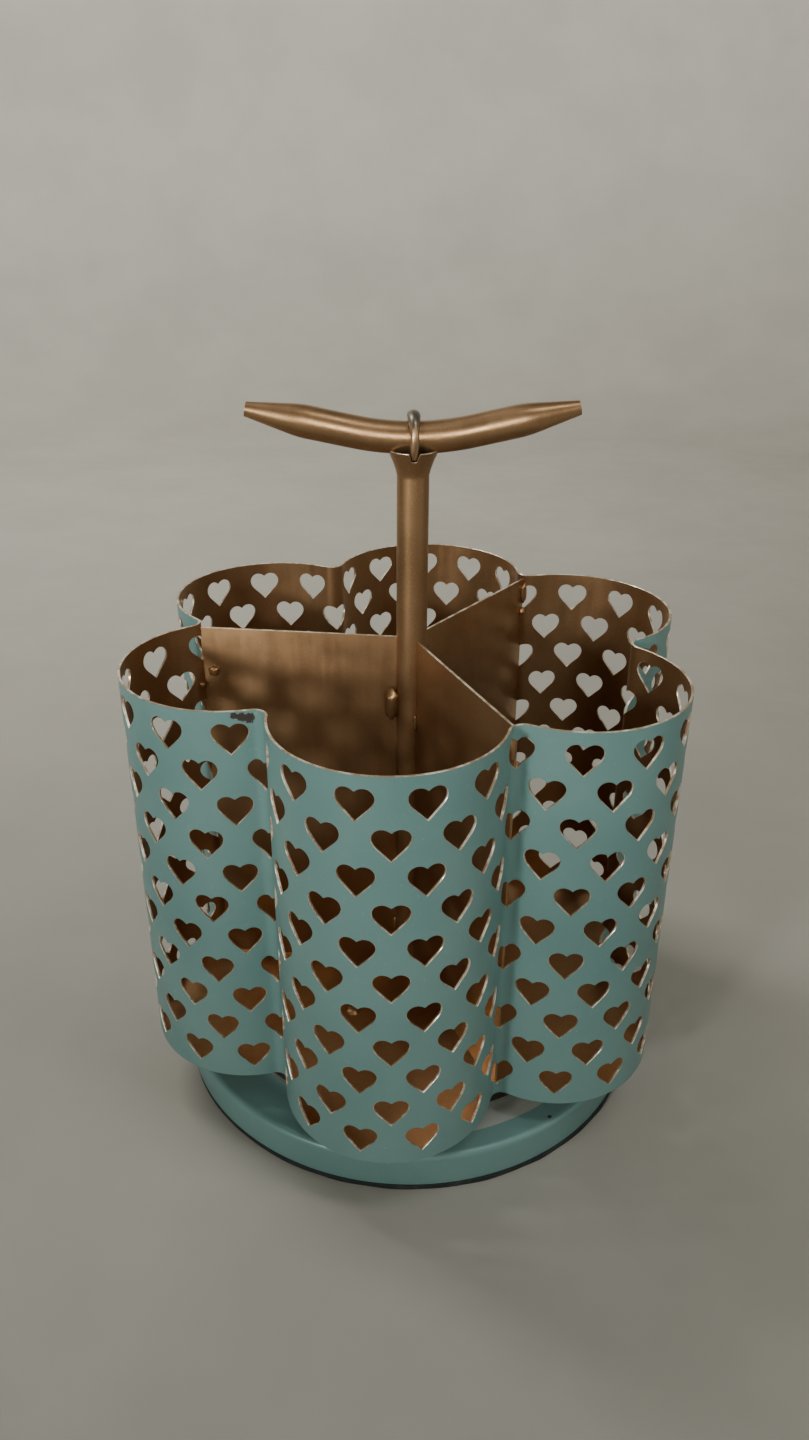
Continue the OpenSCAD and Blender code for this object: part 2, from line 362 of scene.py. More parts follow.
def copper_paint(name, smoothest):
    """Satin metallic copper enamel with fine flakes, faint upright streaks and a cloudy sprayed tone."""
    n = Nodes(name)
    cloud = n.ramp(n.noise(14, 4, 0.6, warp=0.5), 0.3, 0.72)
    streak = n.ramp(n.noise(420, 4, 0.6, place=n.stretched((1.0, 1.0, 0.06))), 0.35, 0.72)
    tone = n.mix(cloud, (0.330, 0.192, 0.090), (0.440, 0.270, 0.138))
    tone = n.mix(n.math("MULTIPLY", streak, 0.10), tone, (0.56, 0.37, 0.20))
    flake = n.ramp(n.noise(2300, 1, 0.5), 0.56, 0.72)
    tone = n.mix(n.math("MULTIPLY", flake, 0.35), tone, (0.60, 0.42, 0.25))
    grime = n.ramp(n.noise(60, 5, 0.65), 0.50, 0.85)
    tone = n.mix(n.math("MULTIPLY", grime, 0.16), tone, (0.17, 0.10, 0.045))
    n.colour(tone)
    worn = n.ramp(n.noise(90, 4, 0.55), 0.25, 0.75, smoothest, smoothest + 0.09)
    n.roughness(n.math("ADD", worn, n.math("MULTIPLY", streak, 0.04)))
    n.bump([(n.noise(1500, 2, 0.5), 0.03, 0.26), (n.noise(170, 3, 0.5), 0.04, 0.10), (streak, 0.02, 0.04)])
    n.set(Metallic=0.88)
    return n.material


def cut_edge_with_painted_highlight():
    """The thin cut edge of the sheet, where paint is thin and bare metal shows through in patches; its light
    cream tone is also a painted highlight.
    """
    n = Nodes("cut_edge_with_painted_highlight")
    patch = n.ramp(n.noise(240, 4, 0.65), 0.42, 0.60)
    # painted highlight mixed with bare metal: the light cream stands in for the bright lines the edges catch
    tone = n.mix(patch, (0.50, 0.38, 0.25), (0.92, 0.86, 0.72))
    n.colour(tone)
    n.roughness(n.ramp(n.noise(800, 3, 0.5), 0.3, 0.7, 0.28, 0.46))
    n.bump([(n.noise(1900, 2, 0.5), 0.03, 0.35)])
    n.set(Metallic=0.75)
    return n.material


def zinc_plate():
    """Zinc plated pressed steel, turned to a fine concentric grain."""
    n = Nodes("zinc_plate")
    spangle = n.ramp(n.noise(70, 3, 0.6), 0.3, 0.7)
    tone = n.mix(spangle, (0.50, 0.51, 0.50), (0.64, 0.65, 0.64))
    tone = n.mix(n.math("MULTIPLY", n.ramp(n.noise(30, 6, 0.75), 0.55, 0.75), 0.35), tone, (0.36, 0.35, 0.32))
    n.colour(tone)
    n.roughness(n.ramp(n.noise(200, 4, 0.6), 0.3, 0.7, 0.30, 0.48))
    n.bump([(n.noise(1400, 2, 0.5), 0.02, 0.25), (n.noise(90, 3, 0.5), 0.05, 0.15)])
    n.set(Metallic=0.9)
    return n.material


def bronze_wire():
    """Drawn wire with a thin copper enamel and drawn lines along it; its top is painted a darker grey, a
    painted shade.
    """
    n = Nodes("bronze_wire")
    lines = n.noise(900, 3, 0.5, place=n.stretched((1.0, 1.0, 0.12)))
    height = n.tree.nodes.new("ShaderNodeSeparateXYZ")
    n.link(n.place, height.inputs["Vector"])
    # painted shade: the ring's top is darkened to grey by height
    top = n.ramp(height.outputs["Z"], (HANDLE_Z + 3.2) * MM, (HANDLE_Z + 6.4) * MM)
    tone = n.mix(n.ramp(lines, 0.35, 0.65), (0.40, 0.26, 0.14), (0.54, 0.37, 0.22))
    tone = n.mix(top, tone, (0.20, 0.18, 0.14))
    n.colour(tone)
    n.roughness(n.ramp(lines, 0.3, 0.7, 0.29, 0.40))
    n.bump([(lines, 0.03, 0.3)])
    n.set(Metallic=0.85)
    return n.material


def rubber_foot():
    """Dark matt rubber with dust on it."""
    n = Nodes("rubber_foot")
    tone = n.mix(n.ramp(n.noise(150, 5, 0.7), 0.45, 0.75), (0.010, 0.018, 0.017), (0.045, 0.060, 0.055))
    n.colour(tone)
    n.roughness(n.ramp(n.noise(300, 3, 0.6), 0.3, 0.7, 0.72, 0.92))
    n.bump([(n.noise(700, 4, 0.6), 0.08, 0.4)])
    return n.material


def moulded_nylon():
    """Natural nylon: slightly yellow, faint flow marks and a soft sheen."""
    n = Nodes("moulded_nylon")
    n.colour(n.mix(n.ramp(n.noise(45, 3, 0.5, warp=1.0), 0.3, 0.7), (0.66, 0.65, 0.59), (0.76, 0.75, 0.70)))
    n.roughness(n.ramp(n.noise(180, 3, 0.5), 0.3, 0.7, 0.36, 0.5))
    n.bump([(n.noise(900, 2, 0.5), 0.02, 0.2)])
    n.set(Subsurface_Weight=0.1)
    return n.material


def ball_steel():
    """Polished bearing steel with a film of grease."""
    n = Nodes("ball_steel")
    n.colour(n.mix(n.ramp(n.noise(400, 4, 0.6), 0.4, 0.7), (0.62, 0.62, 0.61), (0.50, 0.48, 0.43)))
    n.roughness(n.ramp(n.noise(500, 4, 0.6), 0.4, 0.7, 0.08, 0.24))
    n.set(Metallic=1.0)
    return n.material


def pale_floor():
    """Pale painted board under and around the part."""
    n = Nodes("pale_floor")
    n.colour(n.mix(n.ramp(n.noise(9, 4, 0.6), 0.3, 0.7), (0.39, 0.38, 0.340), (0.43, 0.42, 0.375)))
    n.roughness(n.ramp(n.noise(40, 4, 0.6), 0.3, 0.7, 0.42, 0.55))
    n.bump([(n.noise(420, 4, 0.6), 0.08, 0.2)])
    return n.material


# ---------------------------------------------------------------- wall


def heart_outline(count):
    """Points round a punched heart, anticlockwise from its tip, evenly spaced, centred on its box."""
    shoulder = HEART_SHOULDER * HEART_W
    middle = Vector((HEART_W / 2 - shoulder, HEART_H / 2 - shoulder))
    half = []
    flank = [Vector((x * HEART_W, y * HEART_H)) for x, y in HEART_FLANK]
    for a, b in zip(flank, flank[1:]):
        half += [a.lerp(b, k / 8) for k in range(8)]
    start = math.atan2(flank[-1].y - middle.y, flank[-1].x - middle.x)
    arc_steps, dip_steps = 32, 12
    for k in range(arc_steps + 1):
        a = start + (HEART_ARC_END - start) * k / arc_steps
        half.append(middle + shoulder * Vector((math.cos(a), math.sin(a))))
    top = half[-1]
    notch = Vector((0, HEART_NOTCH * HEART_H))
    dip = Vector((HEART_DIP[0] * HEART_W, top.y - HEART_DIP[1] * HEART_H))
    for k in range(1, dip_steps + 1):
        t = k / dip_steps
        half.append(top * (1 - t) ** 2 + dip * 2 * t * (1 - t) + notch * t**2)
    for _ in range(3):  # passes that take the sharpness off the corners
        inner = [(half[i - 1] + half[i] * 2 + half[i + 1]) / 4 for i in range(1, len(half) - 1)]
        half = [half[0]] + inner + [half[-1]]
    right = resampled(half, count // 2)
    left = [Vector((-p.x, p.y)) for p in right[1:-1]][::-1]
    return right + left


def resampled(line, steps):
    """steps + 1 points spaced evenly along a line."""
    lengths = [0.0]
    for a, b in zip(line, line[1:]):
        lengths.append(lengths[-1] + (b - a).length)
    out = []
    k = 0
    for i in range(steps + 1):
        want = lengths[-1] * i / steps
        while k < len(line) - 2 and lengths[k + 1] < want:
            k += 1
        share = (want - lengths[k]) / (lengths[k + 1] - lengths[k])
        out.append(line[k].lerp(line[k + 1], min(share, 1)))
    return out


def wall_place(s, z, depth):
    """Points on the bent strip: s along it from the first cusp, z up, depth inward from its middle."""
    lobe = np.floor(s / LOBE_RUN)
    along = s - lobe * LOBE_RUN
    turn = FIRST_CUSP + (lobe + 0.5) * LOBE_STEP
    mirror = np.where(along > LOBE_RUN / 2, -1.0, 1.0)
    run = np.where(mirror < 0, LOBE_RUN - along, along)
    bend = np.minimum(run, BEND_LEN / 2) / BEND_MID_R
    angle = -LOBE_HALF + np.maximum(run - BEND_LEN / 2, 0) / LOBE_MID_R
    on_bend = run < BEND_LEN / 2
    bx = BEND_C - (BEND_MID_R + depth) * np.cos(bend)
    by = (BEND_MID_R + depth) * np.sin(bend)
    c, d = math.cos(-LOBE_STEP / 2), math.sin(-LOBE_STEP / 2)
    bend_x, bend_y = bx * c - by * d, bx * d + by * c
    lobe_x = LOBE_C + (LOBE_MID_R - depth) * np.cos(angle)
    lobe_y = (LOBE_MID_R - depth) * np.sin(angle)
    x = np.where(on_bend, bend_x, lobe_x)
    y = np.where(on_bend, bend_y, lobe_y) * mirror
    return np.stack([x * np.cos(turn) - y * np.sin(turn), x * np.sin(turn) + y * np.cos(turn), z], axis=-1)


def dent(s, z):
    """How far a hand-bent strip wanders inward from its true plan: two slow waves."""
    usual, swing = 0.12, 0.07
    a = 2 * math.pi * s / (LOBES * LOBE_RUN)
    waves = np.sin(3 * a + 0.7) * np.cos(z / 41.0) + 0.7 * np.sin(7 * a + z / 57.0 + 2.1)
    return usual + swing * waves


def wall_points(s, z, depth):
    """Points on the strip with its wander, in place of the true plan."""
    return wall_place(s, z, depth + dent(s, z))


def wall_normals(s, z, depth):
    """Outward normals by small steps along and up the strip."""
    step = 0.05
    along = wall_points(s + step, z, depth) - wall_points(s - step, z, depth)
    up = wall_points(s, z + step, depth) - wall_points(s, z - step, depth)
    out = np.cross(along, up)
    return out / np.linalg.norm(out, axis=-1, keepdims=True)


ACROSS = 8  # mesh steps in one half pitch
UPWARD = 12  # mesh steps in one row
RINGS = (0.0, 0.30, 0.62, 1.0)  # loops of points from a heart's lip out to its cell's border
OUTSIDE, INSIDE, EDGE = 0, 1, 2
HALF_T = SHEET_T / 2


def cell_border():
    """The rectangle round one heart, anticlockwise from the middle of its lower side."""
    w, h = HALF_PITCH, ROW_PITCH / 2
    lower = [(w * k / ACROSS, -h) for k in range(ACROSS)]
    right = [(w, -h + 2 * h * k / UPWARD) for k in range(UPWARD)]
    upper = [(w - w * k / ACROSS, h) for k in range(2 * ACROSS)]
    left = [(-w, h - 2 * h * k / UPWARD) for k in range(UPWARD)]
    last = [(-w + w * k / ACROSS, -h) for k in range(ACROSS)]
    return [Vector(p) for p in lower + right + upper + left + last]


class Sheet:
    """A patch of the strip built flat, as (s, z, depth) points with faces for its three finishes."""

    def __init__(self):
        self.flat = []
        self.faces = []
        self.kinds = []
        self.known = {}

    def point(self, s, z, depth):
        """The number of a point, which is shared by all that reach it."""
        key = (round(s, 3), round(z, 3), round(depth, 3))
        if key not in self.known:
            self.known[key] = len(self.flat)
            self.flat.append((s, z, depth))
        return self.known[key]

    def face(self, corners, kind):
        """Adds a face, unless two of its corners are the same point."""
        if len(set(corners)) == 4:
            self.faces.append(corners)
            self.kinds.append(kind)

    def band(self, first, second, kind):
        """Faces between two closed loops of point numbers."""
        for i in range(len(first)):
            j = (i + 1) % len(first)
            self.face((first[i], first[j], second[j], second[i]), kind)


def add_cell(sheet, s, z, heart, border):
    """One heart hole, its bevelled cut edge, and both faces of the sheet out to the cell's border."""
    grow = 1 + EDGE_BEVEL / (0.5 * HEART_W)

    def loop(points, depth):
        return [sheet.point(s + p.x, z + p.y, depth) for p in points]

    outer_lip = loop([p * grow for p in heart], -HALF_T)
    outer_cut = loop(heart, -HALF_T + EDGE_BEVEL)
    inner_cut = loop(heart, HALF_T - EDGE_BEVEL)
    inner_lip = loop([p * grow for p in heart], HALF_T)
    sheet.band(outer_lip, outer_cut, EDGE)
    sheet.band(outer_cut, inner_cut, EDGE)
    sheet.band(inner_cut, inner_lip, EDGE)
    for depth, kind in ((-HALF_T, OUTSIDE), (HALF_T, INSIDE)):
        loops = []
        for t in RINGS:
            loops.append(loop([(h * grow).lerp(b, t) for h, b in zip(heart, border)], depth))
        for near, away in zip(loops, loops[1:]):
            if kind == OUTSIDE:
                sheet.band(away, near, kind)
            else:
                sheet.band(near, away, kind)


def add_margin(sheet, first, last, z_cells, z_end):
    """Plain strip between the rows of hearts and a rim, with the rim's own bevelled edge."""
    steps = 3
    up = 1 if z_end > z_cells else -1
    z_flat = z_end - up * EDGE_BEVEL
    columns = [HALF_PITCH * k / ACROSS for k in range(first * ACROSS, last * ACROSS + 1)]
    heights = [z_cells + (z_flat - z_cells) * k / steps for k in range(steps + 1)]
    rim = [(-HALF_T, z_flat), (-HALF_T + EDGE_BEVEL, z_end), (HALF_T - EDGE_BEVEL, z_end), (HALF_T, z_flat)]
    for a, b in zip(columns, columns[1:]):
        for low, high in zip(heights, heights[1:]):
            for depth, kind in ((-HALF_T, OUTSIDE), (HALF_T, INSIDE)):
                corners = [(a, low), (b, low), (b, high), (a, high)]
                if (kind == INSIDE) != (up < 0):
                    corners.reverse()
                sheet.face(tuple(sheet.point(s, z, depth) for s, z in corners), kind)
        for (d1, z1), (d2, z2) in zip(rim, rim[1:]):
            corners = [(a, z1, d1), (b, z1, d1), (b, z2, d2), (a, z2, d2)]
            if up < 0:
                corners.reverse()
            sheet.face(tuple(sheet.point(*corner) for corner in corners), EDGE)


def wall_mesh(number, heart, border):
    """One lobe's share of the strip, bent to the plan, with normals that run on across its joins."""
    sheet = Sheet()
    first = (number - 1) * HALF_PITCHES
    row_low = WALL_LOW + (WALL_HIGH - WALL_LOW - (ROWS - 1) * ROW_PITCH) / 2 + ROW_LIFT
    for row in range(1, ROWS + 1):
        z = row_low + (ROWS - row) * ROW_PITCH
        for column in range(first, first + HALF_PITCHES):
            if (column + row) % 2 == 0:
                add_cell(sheet, column * HALF_PITCH, z, heart, border)
    z_bottom = row_low - ROW_PITCH / 2
    z_top = row_low + (ROWS - 0.5) * ROW_PITCH
    # the lowest and the topmost rows have their hearts on odd columns, so their cells end on even ones
    start = first - first % 2
    end = first + HALF_PITCHES - (first + HALF_PITCHES) % 2
    add_margin(sheet, start, end, z_bottom, WALL_LOW)
    add_margin(sheet, start, end, z_top, WALL_HIGH)
    return bent(f"wall_lobe_{number}_strip", sheet)


def bent(name, sheet):
    """The mesh of a flat sheet bent to the plan."""
    flat = np.array(sheet.flat)
    s, z, depth = flat[:, 0], flat[:, 1], flat[:, 2]
    places = wall_points(s, z, depth) * MM
    outward = wall_normals(s, z, depth)
    mesh = bpy.data.meshes.new(name)
    mesh.from_pydata(places.tolist(), [], sheet.faces)
    mesh.polygons.foreach_set("material_index", sheet.kinds)
    mesh.shade_smooth()
    corners = np.empty(len(mesh.loops), dtype=np.int32)
    mesh.loops.foreach_get("vertex_index", corners)
    face_normals = np.empty(len(mesh.polygons) * 3)
    mesh.polygons.foreach_get("normal", face_normals)
    face_normals = face_normals.reshape(-1, 3)
    kinds = np.repeat(np.array(sheet.kinds), 4)
    own = np.repeat(face_normals, 4, axis=0)
    sign = np.where(kinds == INSIDE, -1.0, 1.0)[:, None]
    normals = np.where((kinds == EDGE)[:, None], own, outward[corners] * sign)
    mesh.normals_split_custom_set(normals.tolist())
    return mesh


def build_wall(paint, lining, edge):
    """The strip's six shares, each with its outside, inside and cut edges."""
    count = 4 * ACROSS + 2 * UPWARD
    heart, border = heart_outline(count), cell_border()
    for number in range(1, LOBES + 1):
        mesh = wall_mesh(number, heart, border)
        node = f"wall_lobe_{number}"
        finish_piece(mesh.name, mesh, (paint, lining, edge), "carousel", [node])


# ---------------------------------------------------------------- dividers and welds


def divider_mesh(number):
    """A flat sheet from the post to the inside of a cusp, with small bevels on its edges."""
    turn = FIRST_CUSP + LOBE_STEP * (2 * number - 1)
    bevel = 0.15
    into_post, into_wall = 0.12, 0.02
    x0, x1 = POST_R - into_post, CUSP_IN + into_wall
    mesh = bmesh.new()
    bmesh.ops.create_cube(mesh, size=1.0)
    centre = Vector(((x0 + x1) / 2, 0, (FLOOR_TOP + DIVIDER_TOP) / 2))
    size = Vector((x1 - x0, DIVIDER_T, DIVIDER_TOP - FLOOR_TOP))
    for v in mesh.verts:
        v.co = centre + Vector((v.co.x * size.x, v.co.y * size.y, v.co.z * size.z))
    bmesh.ops.bevel(mesh, geom=mesh.edges[:], offset=bevel, segments=2, affect="EDGES", profile=0.6)
    mesh.normal_update()
    for face in mesh.faces:
        face.material_index = 1 if face.normal.z > 0.3 else 0  # the upper edge has the cut edge's finish, with its painted highlight
    for v in mesh.verts:
        v.co = Matrix.Rotation(turn, 3, "Z") @ v.co * MM
    out = bpy.data.meshes.new(f"divider_{number}_sheet")
    mesh.to_mesh(out)
    mesh.free()
    out.shade_smooth()
    out.set_sharp_from_angle(angle=math.radians(35))
    return out


def build_dividers(paint, edge):
    """Three sheets, from the post to every second cusp."""
    for number in (1, 2, 3):
        sheet = divider_mesh(number)
        finish_piece(sheet.name, sheet, (paint, edge), "carousel", [f"divider_{number}"])


def bead(centre, size, seed):
    """A lumpy drop of weld: a ball with three half widths and uneven swellings."""
    rings = []
    rows, columns = 14, 20
    for i in range(rows + 1):
        polar = math.pi * i / rows
        ring = []
        for j in range(columns):
            a = 2 * math.pi * j / columns
            girth = math.sin(polar) ** 0.65
            way = Vector((girth * math.cos(a), girth * math.sin(a), math.cos(polar)))
            swell = 0.16 * noise.noise(way * 1.6 + Vector((seed, 0, 0)))
            lump = 1 + swell + 0.04 * math.sin(5 * polar + seed)
            ring.append(tuple(centre[k] + way[k] * size[k] * lump for k in range(3)))
        rings.append(ring)
    return skin(rings)


def build_welds(copper):
    """Welds in the corners of each divider. Places are along it, out from its face, and up."""
    cusp = CUSP_IN - 0.4
    face = DIVIDER_T / 2
    mid = (WALL_LOW + WALL_HIGH) / 2
    usual = [
        ((cusp, face + 0.3, mid + 1.5), (1.2, 1.1, 2.6)),
        ((cusp, face + 0.3, WALL_LOW + 16), (1.2, 1.1, 3.0)),
        ((POST_R + 0.2, face + 0.3, WALL_LOW + 18.5), (0.9, 0.8, 3.2)),
    ]
    short = ((POST_R + 0.2, face + 0.3, DIVIDER_TOP - 29.5), (0.8, 0.7, 3.0))
    run = ((cusp, face + 0.3, DIVIDER_TOP - 5.5), (1.3, 1.2, 4.2))
    blob = ((cusp - 0.6, face + 0.5, DIVIDER_TOP - 12.5), (1.3, 1.2, 1.5))
    ball = ((cusp - 3.4, face + 0.6, DIVIDER_TOP - 15.5), (1.7, 1.6, 1.7))
    spatter = ((cusp + 0.6, face + 1.8, DIVIDER_TOP - 20.5), (1.0, 0.9, 1.0))
    nugget = ((POST_R + 1.3, face + 1.4, NUGGET_Z), (2.5, 2.0, 5.4))
    extras = {
        (0, 1): [short, blob],
        (0, -1): [short, run],
        (1, 1): [short, run],
        (1, -1): [short, run, blob],
        (2, 1): [nugget, ball, spatter],
        (2, -1): [short, blob],
    }
    parts = []
    for (number, side), more in extras.items():
        turn = FIRST_CUSP + LOBE_STEP * (2 * number + 1)
        for k, ((x, y, z), size) in enumerate(usual + more):
            points, faces = bead((x, side * y, z), size, number * 10 + k + side * 3.7)
            parts.append((turned(points, turn), faces))
    points, faces = joined(*parts)
    mesh = mesh_from("weld_runs", points, faces, 80)
    finish_piece(mesh.name, mesh, (copper,), "carousel", ["weld_beads"])


# ---------------------------------------------------------------- post, handle, eye

FLARE_LOW = 212.8
FLARE_HIGH = 221.0
FLARE_R = 8.0
NOTCH_LOW = 218.3
NOTCH_FLAT = 1.0  # half width of the saddle's notch at its foot
NOTCH_TOP = 1.8  # half width of the notch at the flare's top
POST_WALL = 1.0


def handle_rise(x):
    """Height of the handle's centre line over its middle, at a distance along it."""
    reach = HANDLE_BEND_R * math.sin(HANDLE_BEND)
    x = abs(x)
    if x < reach:
        return HANDLE_BEND_R - math.sqrt(HANDLE_BEND_R**2 - x**2)
    return HANDLE_BEND_R * (1 - math.cos(HANDLE_BEND)) + (x - reach) * math.tan(HANDLE_BEND)


def flare_radius(z):
    """Radius of the post's outside at a height: straight, then opening out to the saddle."""
    t = max(0.0, (z - FLARE_LOW) / (FLARE_HIGH - FLARE_LOW))
    return POST_R + (FLARE_R - POST_R) * (t**1.35)


def saddle_top(angle, inset):
    """Height of the post's upper edge at an angle from the handle's direction."""
    under = HANDLE_R - 0.02
    top = FLARE_HIGH
    for _ in range(12):  # the radius depends on the height, so the height is found by steps
        r = flare_radius(top) - inset
        x, y = r * math.cos(angle), r * math.sin(angle)
        if abs(y) < under:
            rest = HANDLE_Z + handle_rise(x) - math.sqrt(under**2 - y**2)
            top = top * 0.5 + 0.5 * min(FLARE_HIGH, rest)
        else:
            top = top * 0.5 + 0.5 * FLARE_HIGH
    x = (flare_radius(top) - inset) * math.cos(angle)
    side = max(0.0, (abs(x) - NOTCH_FLAT) / (NOTCH_TOP - NOTCH_FLAT))
    return min(top, NOTCH_LOW + side * (FLARE_HIGH - NOTCH_LOW))


def build_post(copper, edge):
    """The tube with its flared saddle, as an outer skin, an edge and an inner skin."""
    around, rise, plain_steps = 240, 26, 6
    lead, plain_high = 3, FLARE_LOW - 6  # the shaped rings start a lead under the flare

    def ring(share, inset):
        points = []
        for i in range(around):
            a = 2 * math.pi * i / around
            top = saddle_top(a, 0.0)
            z = FLARE_LOW - lead + (top - FLARE_LOW + lead) * share
            r = flare_radius(z) - inset
            points.append((r * math.cos(a), r * math.sin(a), z))
        return points

    def straight(z, radius):
        steps = (2 * math.pi * i / around for i in range(around))
        return [(radius * math.cos(a), radius * math.sin(a), z) for a in steps]

    rings = [straight(FLOOR_TOP, POST_R - POST_WALL), straight(FLOOR_TOP, POST_R)]
    for k in range(1, plain_steps + 1):
        rings.append(straight(FLOOR_TOP + (plain_high - FLOOR_TOP) * k / plain_steps, POST_R))
    rings += [ring(k / rise, 0.0) for k in range(rise)]
    first_edge = len(rings)
    rings += [ring(0.985, 0.02), ring(1.0, 0.18), ring(1.0, POST_WALL - 0.15), ring(0.985, POST_WALL)]
    last_edge = len(rings) - 1
    rings += [ring(k / rise, POST_WALL) for k in range(rise - 1, -1, -1)]
    points, faces = skin(rings, closed=True)
    mesh = mesh_from("post_saddle_tube", turned(points, HANDLE_TURN), faces, 50)
    # the saddle's upper rim takes the cut edge's finish, a painted highlight on the rim
    for polygon in mesh.polygons[first_edge * around : last_edge * around]:
        polygon.material_index = 1
    finish_piece(mesh.name, mesh, (copper, edge), "carousel", ["post_tube"])


def build_handle(copper):
    """The bowed tube: round in the middle, crimped to a cone at each end, and open at the tips."""
    tip = HANDLE_HALF - 1.0
    # stations along one half of the bar, closer together at its tip and its crimp, and then the other half
    xs = [-tip, -tip + 0.5] + [-tip + 2 + k * (tip - 2 - HANDLE_SHOULDER - 1) / 5 for k in range(6)]
    xs += [-HANDLE_SHOULDER - 0.6, -HANDLE_SHOULDER, -HANDLE_SHOULDER + 0.6]
    xs += [-HANDLE_SHOULDER + 2 + k * (HANDLE_SHOULDER - 2) / 18 for k in range(18)]
    xs += [0.0] + [-x for x in reversed(xs)]

    crimp = 0.12

    def radius(x):
        over = max(0.0, abs(x) - HANDLE_SHOULDER)
        cone = HANDLE_R + (HANDLE_TIP_R - HANDLE_R) * over / (HANDLE_HALF - HANDLE_SHOULDER)
        return cone - crimp * math.exp(-((abs(x) - HANDLE_SHOULDER) ** 2))

    count = 64
    wall = 0.75
    depth = 9  # stations that each open tip is hollow for
    path = [(x, handle_rise(x)) for x in xs]
    outer = tube_rings(path, [radius(x) for x in xs], count)
    inner_left = tube_rings(path[:depth], [radius(x) - wall for x in xs[:depth]], count)[::-1]
    inner_right = tube_rings(path[-depth:], [radius(x) - wall for x in xs[-depth:]], count)[::-1]
    points, faces = skin(inner_left + outer + inner_right)
    faces.append(tuple(range(count)))
    faces.append(tuple(len(points) - count + i for i in range(count)))
    mesh = mesh_from("bowed_handle", turned(points, HANDLE_TURN, HANDLE_Z), faces, 38)
    finish_piece(mesh.name, mesh, (copper,), "carousel", ["handle_bar"])


def build_eye(bronze):
    """The ring round the handle, broad on top, and the rod below it."""
    around, section, rod_sides = 72, 24, 32
    inward = 0.10  # the ring's centre line lies this far inside EYE_R
    rod_turns = [2 * math.pi * i / rod_sides for i in range(rod_sides)]
    rings = []
    for k in range(around):
        a = 2 * math.pi * k / around
        top = max(0.0, math.sin(a)) ** 3
        wide = EYE_WIRE_R * (0.86 + 0.42 * top)
        thick = EYE_WIRE_R * (0.92 + 0.06 * top)
        ring = []
        for i in range(section):
            b = 2 * math.pi * i / section
            r = EYE_R + thick * math.cos(b) - inward
            ring.append((wide * math.sin(b), r * math.cos(a), r * math.sin(a)))
        rings.append(ring)
    loop_points, loop_faces = skin(rings, closed=True)
    low, high = box_mm("eye_bolt")[0].z, HANDLE_Z - EYE_R
    rod_r, chamfer = 2.0, 0.5
    heights = [low, low + chamfer] + [low + chamfer + (high - low - chamfer) * k / 8 for k in range(1, 9)]
    radii = [rod_r - chamfer] + [rod_r] * (len(heights) - 2) + [rod_r * 0.7]
    rod_rings = [
        [(r * math.cos(b), r * math.sin(b), z) for b in rod_turns]
        for z, r in zip(heights, radii)
    ]
    rod_points, rod_faces = skin(rod_rings)
    rod_faces.append(tuple(range(rod_sides)))
    rod_faces.append(tuple(len(rod_points) - rod_sides + i for i in range(rod_sides)))
    points, faces = joined((turned(loop_points, HANDLE_TURN, HANDLE_Z), loop_faces), (rod_points, rod_faces))
    mesh = mesh_from("eye_and_rod", points, faces, 45)
    finish_piece(mesh.name, mesh, (bronze,), "carousel", ["eye_bolt"])


# ---------------------------------------------------------------- base


def build_base(paint, rubber):
    """The pan with its rounded shoulder, and the slightly uneven rubber band under its rim."""
    sheet, corner, hole, foot_width = 1.0, 2.4, 4.0, 5.0
    outline = [(BASE_R, BASE_LOW), (BASE_R, BASE_TOP), (hole, BASE_TOP), (hole, BASE_TOP - sheet),
               (BASE_R - sheet, BASE_TOP - sheet), (BASE_R - sheet, BASE_LOW)]
    soft = rounded(outline, (0.25, corner, 0.1, 0.1, corner - sheet, 0.25), 8)
    mesh = lathe("base_dish", soft, 192)
    finish_piece(mesh.name, mesh, (paint,), "base", ["base_pan"])

    def uneven(a, r):
        """The band's outer side is off centre and a little wavy, and its inner side stays round."""
        if r < BASE_R - 2.5:
            return 0.0
        off_centre = 0.45 * math.cos(a + math.radians(35))
        return 0.30 * noise.noise(Vector((math.cos(a), math.sin(a), 0)) * 9) + off_centre

    inner = BASE_R - foot_width
    foot = rounded([(inner, 0), (BASE_R, 0), (BASE_R, BASE_LOW), (inner, BASE_LOW)], [0.4] * 4, 3)
    mesh = lathe("foot_band", foot, 192, uneven)
    finish_piece(mesh.name, mesh, (rubber,), "base", ["foot_ring"])


# ---------------------------------------------------------------- stage, lights, camera


def build_stage():
    """A round pale floor that curves up into a wall, so that every view has the same backdrop. In metres."""
    reach, curve, height, around, steps = 1.5, 0.45, 1.7, 96, 12
    profile = [(0.2, 0.0), (0.6, 0.0)]
    for k in range(steps + 1):
        a = math.pi / 2 * k / steps
        profile.append((reach - curve + curve * math.sin(a), curve - curve * math.cos(a)))
    profile.append((reach, height))
    turns = [2 * math.pi * i / around for i in range(around)]
    points, faces = skin([[(r * math.cos(a), r * math.sin(a), z) for a in turns] for r, z in profile])
    faces = [face[::-1] for face in faces] + [tuple(range(around))]
    mesh = bpy.data.meshes.new("floor_sweep")
    mesh.from_pydata(points, [], faces)
    mesh.shade_smooth()
    mesh.materials.append(pale_floor())
    floor = bpy.data.objects.new("floor_sweep", mesh)
    bpy.context.scene.collection.objects.link(floor)


def area_light(name, place, target, size, watts, tint, spread=180):
    """A soft light of a (width, height) turned to a target, all in metres, with its spread in degrees."""
    light = bpy.data.lights.new(name, "AREA")
    light.shape = "ELLIPSE"
    light.size, light.size_y = size
    light.energy = watts
    light.color = tint
    light.spread = math.radians(spread)
    thing = bpy.data.objects.new(name, light)
    thing.visible_camera = False
    thing.location = place
    thing.rotation_mode = "QUATERNION"
    thing.rotation_quaternion = (Vector(target) - Vector(place)).to_track_quat("-Z", "Y")
    bpy.context.scene.collection.objects.link(thing)


